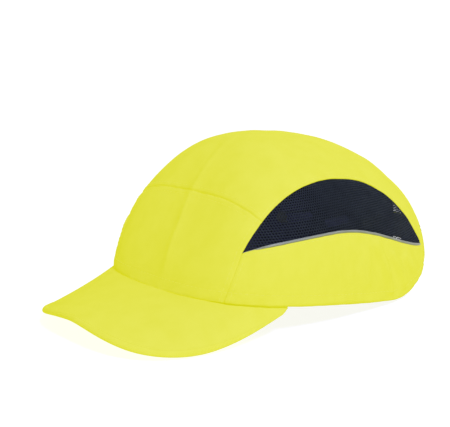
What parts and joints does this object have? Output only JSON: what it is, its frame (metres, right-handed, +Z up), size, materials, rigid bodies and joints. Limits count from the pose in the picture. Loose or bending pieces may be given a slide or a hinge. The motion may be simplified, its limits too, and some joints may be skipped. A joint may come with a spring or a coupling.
{
  "type": "bump cap",
  "caption": "Baseball-style bump cap in high-visibility cloth with dark side vents, reflective piping, a curved peak, a lift-out shell with foam pads and a rear closing strap.",
  "frame": {"origin": "under the middle of the whole cap, on the plane that the peak's edge and the rear sides of the hem stand on", "axes": "+Z up, -Y the way the peak points, +X the wearer's left"},
  "size_m": [0.17, 0.281, 0.1094],
  "materials": {
    "hi_vis_cloth": "matte",
    "mesh_cloth": "matte",
    "reflective_piping": "satin",
    "peak_board": "matte",
    "binding_tape": "matte",
    "strap_cloth": "matte",
    "loop_pile": "matte",
    "hook_tape": "matte",
    "shell_plastic": "matte",
    "pad_foam": "matte",
    "sweatband_cloth": "matte"
  },
  "bodies": {
    "cover": {"front_panel": "hi_vis_cloth", "crown_panel": "hi_vis_cloth", "side_panel_left": "hi_vis_cloth", "side_panel_right": "hi_vis_cloth", "peak_upper_cover": "hi_vis_cloth", "peak_lower_cover": "hi_vis_cloth", "mesh_panel_left": "mesh_cloth", "mesh_panel_right": "mesh_cloth", "reflective_piping_left": "reflective_piping", "reflective_piping_right": "reflective_piping", "peak_board": "peak_board", "arch_binding": "binding_tape", "strap_loop_tab": "strap_cloth", "strap_anchor": "strap_cloth", "loop_patch": "loop_pile", "sweatband": "sweatband_cloth"},
    "liner": {"bump_shell": "shell_plastic", "crown_pad": "pad_foam", "front_pad": "pad_foam", "side_pad_left": "pad_foam", "side_pad_right": "pad_foam", "rear_pad": "pad_foam"},
    "strap_tab": {"strap_tab": "strap_cloth", "hook_patch": "hook_tape"}
  },
  "joints": [
    {"name": "liner_removal", "type": "slide", "parent": "cover", "child": "liner", "axis": [0, 0, -1], "range_m": [0, 0.15], "deforming": ["sweatband"]},
    {"name": "strap_peel", "type": "hinge", "parent": "cover", "child": "strap_tab", "pos_m": [-0.0306, 0.1341, 0.0301], "axis": [0, 0, 1], "range_deg": [0, 110]}
  ]
}
